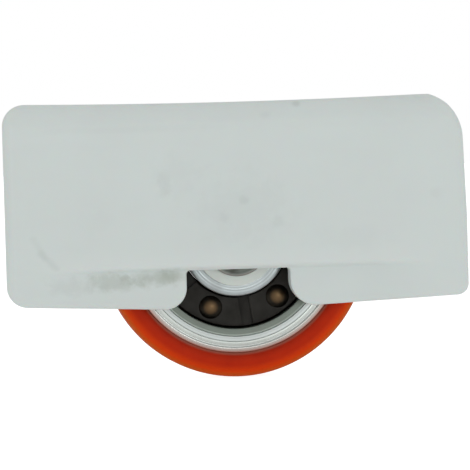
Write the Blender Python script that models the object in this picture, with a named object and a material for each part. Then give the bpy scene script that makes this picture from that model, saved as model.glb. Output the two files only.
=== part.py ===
"""Sliding door roller: a one-piece white acetal housing that carries a ball-bearing
wheel with an orange polyurethane tyre.

Frame: origin on the track under the wheel, +X along the housing, -Y is the front
face, +Z up. Blender units are metres; the dimensions below are in millimetres.
"""
import math

import bmesh
import bpy
from mathutils import Matrix, Vector

MM = 0.001

# ---- driving dimensions, mm -------------------------------------------------
TYRE_R = 13.1              # wheel radius, so the axle is this far above the track
TYRE_HALF_W = 3.25
TYRE_CROWN = 0.12          # the tread stands this much higher in its middle
TYRE_SHOULDER_R = 0.9
FIT_GAP = 0.04             # radial gap left between rings that are pressed together

BEARING_R = 9.5            # bearing 6 bore x 19 outside x 6 wide
BEARING_HALF_W = 3.0
PITCH_R = 6.65             # circle through the ball centres
BALL_R = 1.95
BALL_COUNT = 6
FIRST_BALL_DEG = -112.2    # angle of ball 1 about the axle, seen from the front
GROOVE_R = 2.07            # ball track radius in both races
RACE_LAND_R = 8.27         # bore of the outer race beside its track
RACE_RECESS_R = 9.0        # set-back step at the mouth of the outer race
RACE_RECESS_DEPTH = 0.45
INNER_LAND_R = 5.1         # outside of the inner race beside its track
RIM_R = 10.6
RIM_HALF_W = 3.05
RIM_CHAMFER = 0.3

AXLE_R = 3.0
AXLE_HALF_L = 6.4
AXLE_CHAMFER = 0.4
SPACER_R = 4.0

CAGE_IN_R = 5.33
CAGE_OUT_R = 8.03
CAGE_FRONT_Y = -1.65       # tips of the claws, on the open side
CAGE_BACK_Y = 2.4          # closed side
CAGE_POCKET_R = 2.1
CAGE_RELIEF_W = 1.1        # slot between the claws of neighbouring pockets
CAGE_RELIEF_Y = -0.55

SHIELD_IN_R = 5.22         # running gap of 0.12 round the inner race
SHIELD_OUT_R = 8.97
SHIELD_FRONT_Y = 2.58
SHIELD_BACK_Y = 2.9
SHIELD_STEP_R = 5.8        # inside this radius the shield is pressed inwards
SHIELD_STEP = 0.12

HOUSING_HALF_L = 22.25
HOUSING_HALF_W = 8.0
HOUSING_TOP = 27.2         # at both ends
TOP_DISH = 0.2             # the top edge sags by this in the middle
SKIRT_END_Z = 7.75         # underside at both ends
SKIRT_MID_Z = 7.15         # underside beside the windows
TOP_EDGE_R = 2.5           # round along both long top edges
PLAN_CORNER_R = 0.8        # round down the four upright edges
BOTTOM_EDGE_R = 0.4
CORNER_TL_R = 2.1
CORNER_BL_R = 2.0
CORNER_BR_R = 1.1
CORNER_TR_R = 4.7
CORNER_TR_DROP = 4.4       # its centre is this far under the top, so the top cuts it
END_TAPER = 0.22           # the right end leans in by this much above the height below
END_TAPER_Z = 15.5

SLOT_HALF_L = 14.1         # wheel slot, open at the top and the bottom
SLOT_HALF_W = 4.2
SLOT_CORNER_R = 1.0
LEDGE_Z = 11.05            # lower edge of the raised side panels
SKIRT_SETBACK = 0.7
SETBACK_FULL_X = 11.0      # the set-back is full depth this far out
SETBACK_END_X = 18.2       # and has faded to nothing here
WINDOW_HALF_L = 5.0        # opening under the axle in each skirt
WINDOW_TOP_Z = 10.88       # a little under the ledge
WINDOW_TOP_R = 0.4
WINDOW_LEFT_R = 2.1
WINDOW_RIGHT_R = 2.5

SEAT_R = 3.06              # blind seat that holds each axle end
SEAT_END_Y = 6.5
SEAT_NECK_HALF = 2.75      # snap neck under the seat
SEAT_MOUTH_HALF = 3.4      # lead-in where the axle enters

CORE_X = 18.1              # moulding pockets in the end blocks, open underneath
CORE_HALF_L = 1.8
CORE_RIB = 1.2             # rib between the front and the back pocket
CORE_HALF_W = 5.8
CORE_ROOF = 2.6

RING_STEPS = 56
BEARING_STEPS = 40
TRACK_STEPS = 6
BEYOND = 3.0               # how far a cutter reaches past what it cuts

AXLE_POS = Vector((0.0, 0.0, TYRE_R * MM))


# ---- shared tools -----------------------------------------------------------
def clear_scene():
    for old in list(bpy.data.objects):
        bpy.data.objects.remove(old, do_unlink=True)


def make_material(name, colour, roughness, metallic=0.0):
    material = bpy.data.materials.new(name)
    material.use_nodes = True
    shader = material.node_tree.nodes["Principled BSDF"]
    shader.inputs["Base Color"].default_value = (*colour, 1.0)
    shader.inputs["Roughness"].default_value = roughness
    shader.inputs["Metallic"].default_value = metallic
    material.diffuse_color = (*colour, 1.0)
    return material


def arc(centre_a, centre_b, radius, start_deg, end_deg, steps):
    """Points along an arc, both ends included."""
    points = []
    for step in range(steps + 1):
        angle = math.radians(start_deg + (end_deg - start_deg) * step / steps)
        a = centre_a + radius * math.cos(angle)
        b = centre_b + radius * math.sin(angle)
        points.append((a, b))
    return points


def round_rect(half_a, low_b, high_b, low_r, high_r, steps):
    """A rectangle about a = 0 whose lower and upper corners have their own radii."""
    points = arc(half_a - low_r, low_b + low_r, low_r, -90, 0, steps)
    points += arc(half_a - high_r, high_b - high_r, high_r, 0, 90, steps)
    points += arc(-half_a + high_r, high_b - high_r, high_r, 90, 180, steps)
    points += arc(-half_a + low_r, low_b + low_r, low_r, 180, 270, steps)
    return points


def add_object(name, mesh_builder, material=None):
    """Make one object from a bmesh with its faces turned outwards."""
    bmesh.ops.recalc_face_normals(mesh_builder, faces=mesh_builder.faces[:])
    mesh = bpy.data.meshes.new(name)
    mesh_builder.to_mesh(mesh)
    mesh_builder.free()
    piece = bpy.data.objects.new(name, mesh)
    bpy.context.collection.objects.link(piece)
    if material:
        mesh.materials.append(material)
    return piece


def add_prism(builder, outline, axis, low, high):
    """Extrude an outline (mm) along the named axis, from low to high."""
    place = {
        "X": lambda a, b: Vector((low, a, b)),
        "Y": lambda a, b: Vector((a, low, b)),
        "Z": lambda a, b: Vector((a, b, low)),
    }[axis]
    direction = {"X": Vector((1, 0, 0)), "Y": Vector((0, 1, 0)), "Z": Vector((0, 0, 1))}[axis]
    corners = [builder.verts.new(place(a, b) * MM) for a, b in outline]
    face = builder.faces.new(corners)
    swept = bmesh.ops.extrude_face_region(builder, geom=[face], use_keep_orig=True)
    moved = [item for item in swept["geom"] if isinstance(item, bmesh.types.BMVert)]
    bmesh.ops.translate(builder, verts=moved, vec=direction * (high - low) * MM)


def make_prism(name, outline, axis, low, high, material=None):
    builder = bmesh.new()
    add_prism(builder, outline, axis, low, high)
    return add_object(name, builder, material)


def make_turned(name, profile, steps, material, parent=None):
    """Spin a closed profile of (radius, y) points in mm about the axle's own line."""
    builder = bmesh.new()
    points = [builder.verts.new(Vector((radius, y, 0.0)) * MM) for radius, y in profile]
    ring = [
        builder.edges.new((point, points[(index + 1) % len(points)]))
        for index, point in enumerate(points)
    ]
    bmesh.ops.spin(
        builder,
        geom=points + ring,
        cent=(0, 0, 0),
        axis=(0, 1, 0),
        angle=math.tau,
        steps=steps,
        use_merge=True,
    )
    piece = add_object(name, builder, material)
    smooth(piece)
    if parent:
        piece.parent = parent
    else:
        piece.location = AXLE_POS
    return piece


def smooth(piece, sharp_deg=32):
    piece.data.shade_smooth()
    piece.data.set_sharp_from_angle(angle=math.radians(sharp_deg))


def cut(piece, cutter, operation="DIFFERENCE"):
    """Add an exact Boolean and keep its cutter as a hidden guide."""
    cutter.hide_render = True
    cutter.display_type = "WIRE"
    step = piece.modifiers.new(cutter.name, "BOOLEAN")
    step.operation = operation
    step.solver = "EXACT"
    step.object = cutter


def make_axis(name, location, parent=None):
    """An empty on a joint's axis."""
    axis = bpy.data.objects.new(name, None)
    axis.empty_display_size = 4 * MM
    bpy.context.collection.objects.link(axis)
    axis.location = location
    axis.parent = parent
    return axis


# ---- housing ----------------------------------------------------------------
def housing_side_outline():
    """The housing seen from the front, counter-clockwise, (x, z)."""
    left = -HOUSING_HALF_L
    right = HOUSING_HALF_L
    top = HOUSING_TOP
    window_foot = WINDOW_HALF_L + WINDOW_LEFT_R
    tr_end = math.degrees(math.asin(CORNER_TR_DROP / CORNER_TR_R))
    points = arc(left + CORNER_BL_R, SKIRT_END_Z + CORNER_BL_R, CORNER_BL_R, 180, 270, 6)
    points += [(-window_foot, SKIRT_MID_Z), (window_foot, SKIRT_MID_Z)]
    points += arc(right - CORNER_BR_R, SKIRT_END_Z + CORNER_BR_R, CORNER_BR_R, 270, 360, 5)
    points.append((right, END_TAPER_Z))
    corner_x = right - END_TAPER - CORNER_TR_R
    points += arc(corner_x, top - CORNER_TR_DROP, CORNER_TR_R, 0, tr_end, 9)
    for share in (1.0, 0.5, 0.0, -0.5, -1.0):
        points.append((share * SLOT_HALF_L, top - TOP_DISH * (1 - share * share)))
    points += arc(left + CORNER_TL_R, top - CORNER_TL_R, CORNER_TL_R, 90, 180, 6)
    return points


def make_setback_cutter(name, side):
    """The band under the ledge on one side; its depth fades out towards both ends."""
    face = side * HOUSING_HALF_W
    floor = side * (HOUSING_HALF_W - SKIRT_SETBACK)
    outside = side * (HOUSING_HALF_W + BEYOND)
    plan = [
        (-SETBACK_END_X, outside),
        (-SETBACK_END_X, face),
        (-SETBACK_FULL_X, floor),
        (SETBACK_FULL_X, floor),
        (SETBACK_END_X, face),
        (SETBACK_END_X, outside),
    ]
    return make_prism(name, plan, "Z", SKIRT_MID_Z - BEYOND, LEDGE_Z)


def window_outline():
    """The opening under the axle: upright sides that flare out at the foot, (x, z)."""
    below = SKIRT_MID_Z - BEYOND
    left_r = WINDOW_LEFT_R
    right_r = WINDOW_RIGHT_R
    side = WINDOW_HALF_L
    points = [(-side - left_r, below)]
    points += arc(-side - left_r, SKIRT_MID_Z + left_r, left_r, -90, 0, 6)
    corner_z = WINDOW_TOP_Z - WINDOW_TOP_R
    points += arc(-side + WINDOW_TOP_R, corner_z, WINDOW_TOP_R, 180, 90, 3)
    points += arc(side - WINDOW_TOP_R, corner_z, WINDOW_TOP_R, 90, 0, 3)
    points += arc(side + right_r, SKIRT_MID_Z + right_r, right_r, 180, 270, 6)
    points.append((side + right_r, below))
    return points


def seat_outline():
    """Axle seat with its snap neck and the lead-in below it, (x, z)."""
    neck_drop = math.sqrt(SEAT_R ** 2 - SEAT_NECK_HALF ** 2)
    neck_deg = math.degrees(math.asin(neck_drop / SEAT_R))
    points = arc(0, TYRE_R, SEAT_R, -neck_deg, 180 + neck_deg, 26)
    mouth_z = LEDGE_Z - 0.5 * SEAT_NECK_HALF
    points += [(-SEAT_MOUTH_HALF, mouth_z), (SEAT_MOUTH_HALF, mouth_z)]
    return points


def make_core_cutter():
    """Four pockets that keep the end blocks from sinking as the moulding cools."""
    builder = bmesh.new()
    roof = HOUSING_TOP - CORE_ROOF
    floor = SKIRT_MID_Z - BEYOND
    for end in (-1, 1):
        for side in (-1, 1):
            near = side * CORE_RIB / 2
            far = side * CORE_HALF_W
            left = end * CORE_X - CORE_HALF_L
            right = end * CORE_X + CORE_HALF_L
            plan = [(left, near), (right, near), (right, far), (left, far)]
            add_prism(builder, plan, "Z", floor, roof)
    return add_object("cut_end_cores", builder)


def make_housing(material):
    width = HOUSING_HALF_W
    low = SKIRT_MID_Z - BEYOND
    high = HOUSING_TOP + BEYOND
    housing = make_prism("housing", housing_side_outline(), "Y", -width, width, material)

    section = round_rect(width, SKIRT_MID_Z, HOUSING_TOP, BOTTOM_EDGE_R, TOP_EDGE_R, 7)
    reach = HOUSING_HALF_L + BEYOND
    cut(housing, make_prism("keep_section", section, "X", -reach, reach), "INTERSECT")
    plan = round_rect(HOUSING_HALF_L, -width, width, PLAN_CORNER_R, PLAN_CORNER_R, 4)
    cut(housing, make_prism("keep_plan", plan, "Z", low, high), "INTERSECT")

    slot = round_rect(SLOT_HALF_L, -SLOT_HALF_W, SLOT_HALF_W, SLOT_CORNER_R, SLOT_CORNER_R, 4)
    cut(housing, make_prism("cut_wheel_slot", slot, "Z", low, high))
    cut(housing, make_setback_cutter("cut_front_setback", -1))
    cut(housing, make_setback_cutter("cut_back_setback", 1))
    out = width + BEYOND
    cut(housing, make_prism("cut_windows", window_outline(), "Y", -out, out))
    cut(housing, make_prism("cut_seats", seat_outline(), "Y", -SEAT_END_Y, SEAT_END_Y))
    cut(housing, make_core_cutter())
    return housing


# ---- axle and spacers -------------------------------------------------------
def make_axle(material):
    """Plain ground pin with chamfered ends; it stays still with the inner race."""
    builder = bmesh.new()
    bmesh.ops.create_cone(
        builder,
        cap_ends=True,
        segments=BEARING_STEPS,
        radius1=AXLE_R * MM,
        radius2=AXLE_R * MM,
        depth=2 * AXLE_HALF_L * MM,
        matrix=Matrix.Rotation(math.pi / 2, 4, "X"),
    )
    rims = [edge for edge in builder.edges if len(edge.link_faces[0].verts) > 4
            or len(edge.link_faces[1].verts) > 4]
    bmesh.ops.bevel(builder, geom=rims, offset=AXLE_CHAMFER * MM, segments=1, affect="EDGES")
    axle = add_object("axle", builder, material)
    smooth(axle)
    axle.location = AXLE_POS


def make_spacer(name, side, material):
    """Washer between the inner race and one wall of the housing."""
    bore = AXLE_R + 0.1
    near = side * (BEARING_HALF_W + FIT_GAP)
    far = side * (SLOT_HALF_W - FIT_GAP)
    lip = 0.15
    profile = [
        (bore, near),
        (SPACER_R, near),
        (SPACER_R, far - side * lip),
        (SPACER_R - lip, far),
        (bore, far),
    ]
    make_turned(name, profile, BEARING_STEPS, material)


# ---- bearing ----------------------------------------------------------------
def track_half_angle(land_r):
    """Angle of the ball track's arc from its deepest point up to the land."""
    return math.degrees(math.acos(abs(land_r - PITCH_R) / GROOVE_R))


def make_inner_race(material):
    bore = AXLE_R + 0.05
    half = BEARING_HALF_W
    edge = 0.3
    spread = track_half_angle(INNER_LAND_R)
    profile = [
        (bore + edge, -half),
        (INNER_LAND_R - edge, -half),
        (INNER_LAND_R, -half + edge),
    ]
    profile += arc(PITCH_R, 0, GROOVE_R, 180 + spread, 180 - spread, TRACK_STEPS)
    profile += [
        (INNER_LAND_R, half - edge),
        (INNER_LAND_R - edge, half),
        (bore + edge, half),
        (bore, half - edge),
        (bore, -half + edge),
    ]
    make_turned("inner_race", profile, BEARING_STEPS, material)


def make_outer_race(material, parent):
    half = BEARING_HALF_W
    edge = 0.2
    step_y = half - RACE_RECESS_DEPTH
    spread = track_half_angle(RACE_LAND_R)
    profile = [
        (RACE_LAND_R, -step_y),
        (RACE_RECESS_R, -step_y),
        (RACE_RECESS_R, -half),
        (BEARING_R - edge, -half),
        (BEARING_R, -half + edge),
        (BEARING_R, half - edge),
        (BEARING_R - edge, half),
        (RACE_RECESS_R, half),
        (RACE_RECESS_R, step_y),
        (RACE_LAND_R, step_y),
    ]
    profile += arc(PITCH_R, 0, GROOVE_R, spread, -spread, TRACK_STEPS)
    make_turned("outer_race", profile, RING_STEPS, material, parent)


def make_shield(material, parent):
    """Pressed ring that closes the back of the bearing; it turns with the outer race."""
    front = SHIELD_FRONT_Y
    back = SHIELD_BACK_Y
    profile = [
        (SHIELD_IN_R, front),
        (SHIELD_OUT_R, front),
        (SHIELD_OUT_R, back),
        (SHIELD_STEP_R + SHIELD_STEP, back),
        (SHIELD_STEP_R, back - SHIELD_STEP),
        (SHIELD_IN_R, back - SHIELD_STEP),
    ]
    make_turned("bearing_shield", profile, RING_STEPS, material, parent)


def ball_place(index):
    """Centre of a ball relative to the axle, in metres."""
    angle = math.radians(FIRST_BALL_DEG + index * 360 / BALL_COUNT)
    return Vector((PITCH_R * math.cos(angle), 0.0, PITCH_R * math.sin(angle))) * MM


def add_sphere(builder, radius, centre, columns, rows):
    poles_along_y = Matrix.Rotation(math.pi / 2, 4, "X")
    bmesh.ops.create_uvsphere(
        builder,
        u_segments=columns,
        v_segments=rows,
        radius=radius * MM,
        matrix=Matrix.Translation(centre) @ poles_along_y,
    )


def make_balls(material, cage_axis):
    """Steel balls, each turning about its own centre while the cage carries it round."""
    builder = bmesh.new()
    add_sphere(builder, BALL_R, Vector((0, 0, 0)), 16, 8)
    first = add_object("ball_1", builder, material)
    first.data.shade_smooth()
    for index in range(BALL_COUNT):
        name = f"ball_{index + 1}"
        ball = first if index == 0 else bpy.data.objects.new(name, first.data)
        if index:
            bpy.context.collection.objects.link(ball)
        ball.parent = cage_axis
        ball.location = ball_place(index)


def make_cage(material, cage_axis):
    """One-piece crown cage: pockets that snap over the balls from the closed side."""
    soft = 0.2
    profile = [
        (CAGE_IN_R, CAGE_FRONT_Y + soft),
        (CAGE_IN_R + soft, CAGE_FRONT_Y),
        (CAGE_OUT_R - soft, CAGE_FRONT_Y),
        (CAGE_OUT_R, CAGE_FRONT_Y + soft),
        (CAGE_OUT_R, CAGE_BACK_Y - soft),
        (CAGE_OUT_R - soft, CAGE_BACK_Y),
        (CAGE_IN_R + soft, CAGE_BACK_Y),
        (CAGE_IN_R, CAGE_BACK_Y - soft),
    ]
    cage = make_turned("ball_cage", profile, BEARING_STEPS, material, cage_axis)

    pockets = bmesh.new()
    reliefs = bmesh.new()
    half_pitch = math.pi / BALL_COUNT
    for index in range(BALL_COUNT):
        add_sphere(pockets, CAGE_POCKET_R, ball_place(index), 14, 8)
        front = CAGE_FRONT_Y - BEYOND
        half_w = CAGE_RELIEF_W / 2
        shape = [(CAGE_IN_R - 1, -half_w), (CAGE_OUT_R + 1, -half_w),
                 (CAGE_OUT_R + 1, half_w), (CAGE_IN_R - 1, half_w)]
        before = set(reliefs.verts)
        add_prism(reliefs, shape, "Y", front, CAGE_RELIEF_Y)
        fresh = [vert for vert in reliefs.verts if vert not in before]
        angle = math.radians(FIRST_BALL_DEG) + (2 * index + 1) * half_pitch
        bmesh.ops.rotate(reliefs, verts=fresh, matrix=Matrix.Rotation(-angle, 3, "Y"))
    for name, builder in (("cut_pockets", pockets), ("cut_reliefs", reliefs)):
        cutter = add_object(name, builder)
        cutter.parent = cage_axis
        cut(cage, cutter)


# ---- wheel ------------------------------------------------------------------
def make_rim(material, parent):
    """Steel hub ring pressed on the bearing; its outer edges fall away to the tyre."""
    inner = BEARING_R + FIT_GAP
    half = RIM_HALF_W
    profile = [
        (inner, -half),
        (RIM_R - RIM_CHAMFER, -half),
        (RIM_R, -half + RIM_CHAMFER),
        (RIM_R, half - RIM_CHAMFER),
        (RIM_R - RIM_CHAMFER, half),
        (inner, half),
    ]
    make_turned("rim", profile, RING_STEPS, material, parent)


def make_tyre(material, parent):
    """Polyurethane tyre with a slightly crowned tread and round shoulders."""
    inner = RIM_R + FIT_GAP
    half = TYRE_HALF_W
    round_r = TYRE_SHOULDER_R
    edge_r = TYRE_R - TYRE_CROWN
    profile = [(inner, half), (inner, -half)]
    profile += arc(edge_r - round_r, -half + round_r, round_r, -90, 0, 4)
    profile.append((TYRE_R, 0))
    profile += arc(edge_r - round_r, half - round_r, round_r, 0, 90, 4)
    make_turned("tyre", profile, RING_STEPS, material, parent)


def main():
    clear_scene()
    white_acetal = make_material("white_acetal", (0.80, 0.83, 0.82), 0.45)
    washer_acetal = make_material("washer_acetal", (0.76, 0.78, 0.72), 0.5)
    axle_steel = make_material("axle_steel", (0.20, 0.20, 0.19), 0.35, 1.0)
    race_steel = make_material("race_steel", (0.62, 0.65, 0.67), 0.22, 1.0)
    ball_steel = make_material("ball_steel", (0.30, 0.24, 0.18), 0.2, 1.0)
    black_nylon = make_material("black_nylon", (0.025, 0.024, 0.022), 0.5)
    rim_steel = make_material("rim_steel", (0.66, 0.68, 0.68), 0.25, 1.0)
    orange_urethane = make_material("orange_urethane", (0.62, 0.06, 0.012), 0.38)

    make_housing(white_acetal)
    make_axle(axle_steel)
    make_spacer("spacer_front", -1, washer_acetal)
    make_spacer("spacer_back", 1, washer_acetal)
    make_inner_race(race_steel)

    wheel_axis = make_axis("wheel_axis", AXLE_POS)
    make_outer_race(race_steel, wheel_axis)
    make_shield(race_steel, wheel_axis)
    make_rim(rim_steel, wheel_axis)
    make_tyre(orange_urethane, wheel_axis)

    cage_axis = make_axis("cage_axis", AXLE_POS)
    make_cage(black_nylon, cage_axis)
    make_balls(ball_steel, cage_axis)


main()
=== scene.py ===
import math

import bmesh
import bpy
from mathutils import Matrix, Vector


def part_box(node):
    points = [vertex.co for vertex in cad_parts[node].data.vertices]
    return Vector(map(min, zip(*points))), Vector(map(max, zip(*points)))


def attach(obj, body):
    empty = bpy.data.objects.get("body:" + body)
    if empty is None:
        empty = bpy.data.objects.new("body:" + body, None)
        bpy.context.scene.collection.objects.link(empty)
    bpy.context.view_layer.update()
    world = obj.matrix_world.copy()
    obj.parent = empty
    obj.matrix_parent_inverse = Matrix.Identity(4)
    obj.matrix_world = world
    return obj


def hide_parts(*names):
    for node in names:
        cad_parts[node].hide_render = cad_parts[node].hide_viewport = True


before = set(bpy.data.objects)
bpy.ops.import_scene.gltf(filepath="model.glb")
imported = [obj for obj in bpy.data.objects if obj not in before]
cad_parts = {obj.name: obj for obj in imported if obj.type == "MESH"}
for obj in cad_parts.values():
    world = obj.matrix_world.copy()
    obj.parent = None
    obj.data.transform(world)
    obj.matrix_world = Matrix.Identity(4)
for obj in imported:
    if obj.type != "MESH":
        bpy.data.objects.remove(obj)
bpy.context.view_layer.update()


# ---- Housing ----------------------------------------------------------------
# One injection moulding in white acetal. Two flat side walls and two cored end
# blocks leave an open slot for the wheel. Each wall is thinned below a ledge, has
# a window under the axle and a blind seat that the axle end snaps up into.
MM = 0.001
housing_low, housing_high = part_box("housing")
axle_low, axle_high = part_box("axle")
axle_centre = (axle_low + axle_high) / 2
half_length = housing_high.x
half_width = housing_high.y
top_z = housing_high.z
skirt_z = housing_low.z
ledge_z = 11.05 * MM
window_top_z = ledge_z - 0.17 * MM
skirt_depth = 0.6 * MM
slot_half_length = 14.1 * MM
slot_half_width = 4.2 * MM
past = 3 * MM


def arc(centre_a, centre_b, radius, start_deg, end_deg, steps):
    """Points along an arc, both ends included."""
    points = []
    for step in range(steps + 1):
        angle = math.radians(start_deg + (end_deg - start_deg) * step / steps)
        points.append((centre_a + radius * math.cos(angle), centre_b + radius * math.sin(angle)))
    return points


def round_rect(half_a, half_b, radius, steps):
    """A rectangle about the origin with round corners."""
    points = []
    corners = ((1, -1, -90), (1, 1, 0), (-1, 1, 90), (-1, -1, 180))
    for side_a, side_b, start in corners:
        centre_a = side_a * (half_a - radius)
        centre_b = side_b * (half_b - radius)
        points += arc(centre_a, centre_b, radius, start, start + 90, steps)
    return points


def stack(builder, axis, layers):
    """Join outlines of equal length, each at its own level along X, Y or Z, into one solid."""
    order = {"X": (2, 0, 1), "Y": (0, 2, 1), "Z": (0, 1, 2)}[axis]
    rings = []
    for level, outline in layers:
        ring = []
        for a, b in outline:
            values = (a, b, level)
            ring.append(builder.verts.new([values[place] for place in order]))
        rings.append(ring)
    count = len(rings[0])
    for near, far in zip(rings, rings[1:]):
        for index in range(count):
            after = (index + 1) % count
            builder.faces.new((near[index], near[after], far[after], far[index]))
    builder.faces.new(rings[0])
    builder.faces.new(rings[-1])


def finish_piece(name, builder):
    """Turn a bmesh into an object with its faces pointing out."""
    bmesh.ops.recalc_face_normals(builder, faces=builder.faces[:])
    mesh = bpy.data.meshes.new(name)
    builder.to_mesh(mesh)
    builder.free()
    piece = bpy.data.objects.new(name, mesh)
    bpy.context.scene.collection.objects.link(piece)
    return piece


def stacked(name, axis, layers):
    builder = bmesh.new()
    stack(builder, axis, layers)
    return finish_piece(name, builder)


def carve(piece, cutters):
    """Cut pieces away with exact Booleans, apply them and drop the cutters."""
    for cutter in cutters:
        cut = piece.modifiers.new(cutter.name, "BOOLEAN")
        cut.operation = "DIFFERENCE"
        cut.solver = "EXACT"
        cut.object = cutter
    graph = bpy.context.evaluated_depsgraph_get()
    carved = bpy.data.meshes.new_from_object(piece.evaluated_get(graph))
    piece.modifiers.clear()
    piece.data = carved
    for cutter in cutters:
        bpy.data.objects.remove(cutter, do_unlink=True)


def keep_flats_flat(piece, sharp_deg):
    """Smooth shading that leaves large flat faces flat and true corners sharp."""
    piece.data.shade_smooth()
    piece.data.set_sharp_from_angle(angle=math.radians(sharp_deg))
    normals = piece.modifiers.new("flats_stay_flat", "WEIGHTED_NORMAL")
    normals.keep_sharp = True
    normals.weight = 100


def side_outline():
    """The housing from the front: a low wide block whose four corners all differ."""
    end_skirt = skirt_z + 0.6 * MM
    foot_x = 7.1 * MM
    left_low_r = 2.0 * MM
    left_top_r = 2.1 * MM
    right_low_r = 1.1 * MM
    right_top_r = 4.7 * MM
    right_top_drop = 4.4 * MM
    lean = 0.22 * MM
    lean_from = 15.5 * MM
    right_top_x = half_length - lean - right_top_r
    dish = 0.25 * MM
    dish_from = -20.0 * MM
    dish_to = 18.0 * MM
    meet = math.degrees(math.asin(right_top_drop / right_top_r))
    points = arc(-half_length + left_low_r, end_skirt + left_low_r, left_low_r, 180, 270, 14)
    points += [(-foot_x, skirt_z), (foot_x, skirt_z)]
    points += arc(half_length - right_low_r, end_skirt + right_low_r, right_low_r, 270, 360, 10)
    points.append((half_length, lean_from))
    points += arc(right_top_x, top_z - right_top_drop, right_top_r, 0, meet, 24)
    for step in range(17):
        share = 1 - step / 8
        x = (dish_from + dish_to) / 2 + share * (dish_to - dish_from) / 2
        points.append((x, top_z - dish * (1 - share * share)))
    points += arc(-half_length + left_top_r, top_z - left_top_r, left_top_r, 90, 180, 14)
    return points


def round_off(distance_in, radius):
    """How far a quarter round has drawn back at this distance in from its edge."""
    inward = max(0.0, radius - distance_in)
    return radius - math.sqrt(max(0.0, radius * radius - inward * inward))


def soft_least(first, second, blend):
    """The smaller of two heights, blended where they are nearly equal."""
    if blend <= 0:
        return min(first, second)
    share = max(0.0, 1 - abs(first - second) / blend)
    return min(first, second) - blend * share * share / 4


def outer_skin():
    """The moulding before it is cored, as outlines stacked from the front to the back."""
    top_r = 2.5 * MM
    plan_r = 0.8 * MM
    foot_r = 0.4 * MM
    foot_reach = 2 * MM
    softest = 0.25 * MM
    steps = 18
    outline = side_outline()
    stations = []
    for step in range(steps + 1):
        angle = math.radians(90 * step / steps)
        stations.append(half_width - top_r + top_r * math.sin(angle))
    levels = [-y for y in reversed(stations)] + stations
    layers = []
    for y in levels:
        inset = half_width - abs(y)
        narrowed = 1 - round_off(inset, plan_r) / half_length
        roof = top_z - round_off(inset, top_r)
        blend = min(softest, top_z - roof)
        lift = round_off(inset, foot_r)
        ring = []
        for x, z in outline:
            in_foot = max(0.0, 1 - (z - skirt_z) / foot_reach)
            ring.append((x * narrowed, soft_least(z + lift * in_foot, roof, blend)))
        layers.append((y, ring))
    return layers


def set_back_skirts(piece):
    """Thin both walls below the ledge; the step is rounded and fades out at its ends."""
    root = 5.0 * MM
    full_x = 11.0 * MM
    end_x = 18.2 * MM
    # height above the ledge in mm, and the share of the set-back reached there
    ledge_form = (
        (0.42, 0.0), (0.32, 0.03), (0.23, 0.09), (0.15, 0.18), (0.08, 0.30), (0.02, 0.44),
        (-0.03, 0.58), (-0.08, 0.73), (-0.13, 0.86), (-0.19, 0.95), (-0.27, 1.0),
    )
    builder = bmesh.new()
    builder.from_mesh(piece.data)

    def split(place_at, normal):
        everything = builder.verts[:] + builder.edges[:] + builder.faces[:]
        bmesh.ops.bisect_plane(
            builder, geom=everything, dist=0.0005 * MM, plane_co=place_at, plane_no=normal
        )

    for height, _ in ledge_form:
        split((0, 0, ledge_z + height * MM), (0, 0, 1))
    for step in range(9):
        x = full_x + (end_x - full_x) * step / 8
        split((x, 0, 0), (1, 0, 0))
        split((-x, 0, 0), (1, 0, 0))

    def share_at(height):
        if height >= ledge_form[0][0]:
            return 0.0
        for (high, above), (low, below) in zip(ledge_form, ledge_form[1:]):
            if height >= low:
                return above + (below - above) * (high - height) / (high - low)
        return 1.0

    for corner in builder.verts:
        x, y, z = corner.co
        run = min(1.0, max(0.0, (end_x - abs(x)) / (end_x - full_x)))
        fade = run * run * (3 - 2 * run)
        drawn_in = skirt_depth * fade * share_at((z - ledge_z) / MM)
        if drawn_in and abs(y) > root:
            span = half_width - root
            corner.co.y = math.copysign(root + (abs(y) - root) * (span - drawn_in) / span, y)
    builder.to_mesh(piece.data)
    builder.free()


def window_outline(grow):
    """Upright sides that flare out at the foot; grow moves the sides apart."""
    side = 5.0 * MM + grow
    left_r = 2.1 * MM
    right_r = 2.5 * MM
    top_r = 0.4 * MM
    foot_z = skirt_z + grow * 0.7
    points = [(-side - left_r, skirt_z - past), (-side - left_r, foot_z)]
    points += arc(-side - left_r, foot_z + left_r, left_r, -90, 0, 14)[1:]
    points += arc(-side + top_r, window_top_z - top_r, top_r, 180, 90, 5)
    points += arc(side - top_r, window_top_z - top_r, top_r, 90, 0, 5)
    points += arc(side + right_r, foot_z + right_r, right_r, 180, 270, 14)[:-1]
    points += [(side + right_r, foot_z), (side + right_r, skirt_z - past)]
    return points


def mouth_levels(mouth, inward, radius, steps=5):
    """(level, grow) pairs that round the rim of an opening over, from outside to inside."""
    levels = [(mouth - inward * past, radius)]
    for step in range(steps + 1):
        depth = math.sin(math.radians(90 * step / steps))
        grow = radius * (1 - math.sqrt(1 - (1 - depth) ** 2))
        levels.append((mouth + inward * radius * depth, grow))
    return levels


def window_layers(side):
    """One side's window, from the slot out through the skirt, its outer rim rounded."""
    skirt_y = side * (half_width - skirt_depth)
    inside_slot = side * 2 * MM
    rim_round = 0.22 * MM
    levels = mouth_levels(skirt_y, -side, rim_round)
    layers = [(level, window_outline(grow)) for level, grow in levels]
    layers.append((inside_slot, window_outline(0)))
    return layers


def seat_outline():
    """Round seat over a snap neck, with a lead-in that opens downwards."""
    seat_r = 3.06 * MM
    neck = 2.75 * MM
    mouth = 3.4 * MM
    drop = math.sqrt(seat_r ** 2 - neck ** 2)
    turn = math.degrees(math.asin(drop / seat_r))
    points = arc(0, axle_centre.z, seat_r, -turn, 180 + turn, 48)
    lead_in = 1.37 * MM
    return points + [(-mouth, ledge_z - lead_in), (mouth, ledge_z - lead_in)]


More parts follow.
